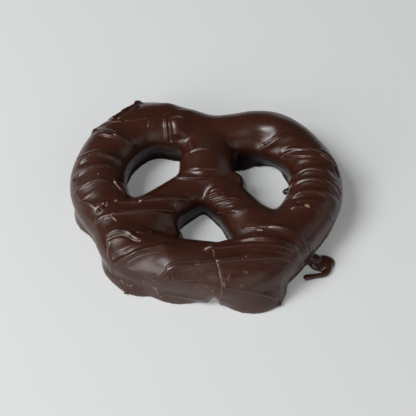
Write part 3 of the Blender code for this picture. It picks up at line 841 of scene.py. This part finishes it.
def cord(knots, width, height, lift, seed):
    """A closed cord laid on the coat: an oval ring at every point of the path, its size wandering
    at random, joined to the next ring, and a last point that closes each end."""
    chance = np.random.default_rng(seed)
    places, tangents, ups = laid(knots, SEAM_STEP)
    sides = np.cross(ups, tangents)
    sides /= np.linalg.norm(sides, axis=1)[:, None]
    count = len(places)
    draws = np.arange(0, count + RINGS_A_DRAW, RINGS_A_DRAW)
    size = np.interp(np.arange(count), draws, chance.uniform(*RING_SHARES, len(draws)))
    turn = np.arange(RING_SIDES) * 2 * math.pi / RING_SIDES
    ring = np.cos(turn)[None, :, None] * sides[:, None] * width / 2
    ring = ring + np.sin(turn)[None, :, None] * ups[:, None] * height / 2
    body = places[:, None] + ups[:, None] * lift + ring * size[:, None, None]
    tips = places[:1] - SEAM_TIP * tangents[:1], places[-1:] + SEAM_TIP * tangents[-1:]
    shape = np.concatenate([body.reshape(-1, 3), *tips])
    now = np.arange(RING_SIDES)
    after = (now + 1) % RING_SIDES
    start = np.arange(count - 1)[:, None] * RING_SIDES
    end = start + RING_SIDES
    quads = np.stack([start + now, end + now, end + after, start + after], -1).reshape(-1, 4)
    last = (count - 1) * RING_SIDES
    first_tip = np.full(RING_SIDES, count * RING_SIDES)
    triangles = (
        quads[:, [0, 1, 2]],
        quads[:, [0, 2, 3]],
        np.stack([first_tip, now, after], 1),
        np.stack([first_tip + 1, last + after, last + now], 1),
    )
    return shape, np.concatenate(triangles)


shown_crust = matt("crust_in_crack", SEAM_DARK, SEAM_LIGHT, SEAM_BLOTCHES, SEAM_ROUGHNESS)
seam = cord(SEAM_KNOTS, SEAM_WIDTH, SEAM_HEIGHT, SEAM_LIFT, SEAM_SEED)
add_piece("crust_seam", seam, shown_crust)


# ------------------------------------------------------------------------------------------
# Flakes. The set coat was scuffed low on its front, and thin reddish flakes of scraped
# chocolate stick to it there in small heaps. Each heap is (place, spread, count).

FLAKE_DARK = (0.070, 0.022, 0.013, 1.0)
FLAKE_LIGHT = (0.19, 0.10, 0.075, 1.0)
FLAKE_BLOTCHES = 900.0
FLAKE_ROUGHNESS = 0.6
FLAKE_SINK = 0.25
FLAKE_SEED = 7
HEAP_SEED = 11
# The least and greatest length, width and height of a flake.
FLAKE_SIDES = ((0.35, 0.85), (0.25, 0.50), (0.08, 0.14))
FLAKE_HEAPS = (
    ((1.5, -37.4, 10.2), 1.0, 9),
    ((2.9, -37.9, 9.0), 0.9, 8),
    ((4.6, -37.3, 10.4), 0.8, 5),
    ((6.4, -37.8, 9.4), 0.7, 4),
    ((11.3, -35.6, 14.0), 0.8, 7),
    ((17.0, -33.6, 14.6), 0.8, 6),
    ((16.0, -36.5, 12.0), 0.6, 4),
    ((-17.4, -36.9, 8.7), 0.5, 3),
    ((-12.9, -37.2, 5.6), 0.8, 4),
)

chance = np.random.default_rng(HEAP_SEED)
flakes = []
for place, heap_spread, count in FLAKE_HEAPS:
    for offset in chance.normal(0.0, heap_spread / 2, (count, 3)):
        sides = [chance.uniform(*ends) for ends in FLAKE_SIDES]
        flakes.append((tuple(np.array(place) + offset), *sides))
scraped = matt("scraped_chocolate", FLAKE_DARK, FLAKE_LIGHT, FLAKE_BLOTCHES, FLAKE_ROUGHNESS)
add_piece("chocolate_flakes", shards(flakes, FLAKE_SINK, FLAKE_SEED), scraped)


# ------------------------------------------------------------------------------------------
# Floor. A plain pale sheet that the pretzel lies on. Its faint glow stands for the light of the
# room that gets in under the piece, so that the shadows stay soft.

FLOOR_COLOUR = (0.675, 0.695, 0.70, 1.0)
FLOOR_ROUGHNESS = 0.6
FLOOR_SPECULAR = 0.2
GLOW_COLOUR = (0.98, 1.0, 1.0, 1.0)
GLOW_STRENGTH = 0.13
FLOOR_SIZE = 3.0
FLOOR_DROP = 0.0001

bpy.ops.mesh.primitive_plane_add(size=FLOOR_SIZE, location=(0.0, 0.0, -FLOOR_DROP))
floor = bpy.context.active_object
floor.name = "floor"
pale = bpy.data.materials.new("pale_floor")
pale.use_nodes = True
pale_shader = pale.node_tree.nodes["Principled BSDF"]
pale_shader.inputs["Base Color"].default_value = FLOOR_COLOUR
pale_shader.inputs["Roughness"].default_value = FLOOR_ROUGHNESS
pale_shader.inputs["Specular IOR Level"].default_value = FLOOR_SPECULAR
pale_shader.inputs["Emission Color"].default_value = GLOW_COLOUR
pale_shader.inputs["Emission Strength"].default_value = GLOW_STRENGTH
floor.data.materials.append(pale)


# ------------------------------------------------------------------------------------------
# Light. A tall soft window at the left and a lower one nearer the front make the sheens on the
# threads. A wide fill from the front, a wall at the right and a dim room lift the shaded sides.

LIGHT_DISTANCE = 1.2
ROOM_COLOUR = (1.0, 0.98, 0.95, 1.0)
ROOM_STRENGTH = 0.08


def soft_light(name, azimuth, elevation, width, height, power, colour):
    """An area light that faces the pretzel, from an azimuth off -Y towards +X and an elevation,
    both in degrees."""
    turn, lift = math.radians(azimuth), math.radians(elevation)
    light = bpy.data.lights.new(name, "AREA")
    light.shape = "RECTANGLE"
    light.size = width
    light.size_y = height
    light.energy = power
    light.color = colour
    lamp = bpy.data.objects.new(name, light)
    out = Vector((math.sin(turn) * math.cos(lift), -math.cos(turn) * math.cos(lift), math.sin(lift)))
    lamp.location = out * LIGHT_DISTANCE
    lamp.rotation_euler = (-lamp.location).to_track_quat("-Z", "Y").to_euler()
    bpy.context.scene.collection.objects.link(lamp)


soft_light("window", -73.0, 50.0, width=0.40, height=0.62, power=10.5, colour=(1.0, 1.0, 1.0))
soft_light("near_window", -40.0, 24.0, width=0.56, height=0.66, power=4.8, colour=(1.0, 0.97, 0.96))
soft_light("fill", 26.0, 26.0, width=0.90, height=0.90, power=1.7, colour=(1.0, 0.98, 0.96))
soft_light("right_wall", 95.0, 24.0, width=1.20, height=0.70, power=1.1, colour=(1.0, 0.98, 0.95))

room = bpy.data.worlds.new("dim_room")
room.use_nodes = True
room.node_tree.nodes["Background"].inputs["Color"].default_value = ROOM_COLOUR
room.node_tree.nodes["Background"].inputs["Strength"].default_value = ROOM_STRENGTH
bpy.context.scene.world = room
bpy.context.scene.view_settings.view_transform = "Standard"


# ------------------------------------------------------------------------------------------
# Camera. It looks down on the pretzel from the front, 55 degrees up and a little to the right,
# through a long lens, as the photograph was taken.

CAMERA_AZIMUTH = math.radians(5.5)
CAMERA_ELEVATION = math.radians(55.0)
CAMERA_DISTANCE = 0.347
CAMERA_TARGET = Vector((0.0016, -0.0041, 0.008))
LENS_MM = 85.0
SENSOR_MM = 36.0
CLIP_START = 0.01

back = Vector((
    math.sin(CAMERA_AZIMUTH) * math.cos(CAMERA_ELEVATION),
    -math.cos(CAMERA_AZIMUTH) * math.cos(CAMERA_ELEVATION),
    math.sin(CAMERA_ELEVATION),
))
lens = bpy.data.cameras.new("camera")
lens.lens = LENS_MM
lens.sensor_width = SENSOR_MM
lens.clip_start = CLIP_START
camera = bpy.data.objects.new("camera", lens)
camera.location = CAMERA_TARGET + CAMERA_DISTANCE * back
camera.rotation_euler = back.to_track_quat("Z", "Y").to_euler()
bpy.context.scene.collection.objects.link(camera)
bpy.context.scene.camera = camera
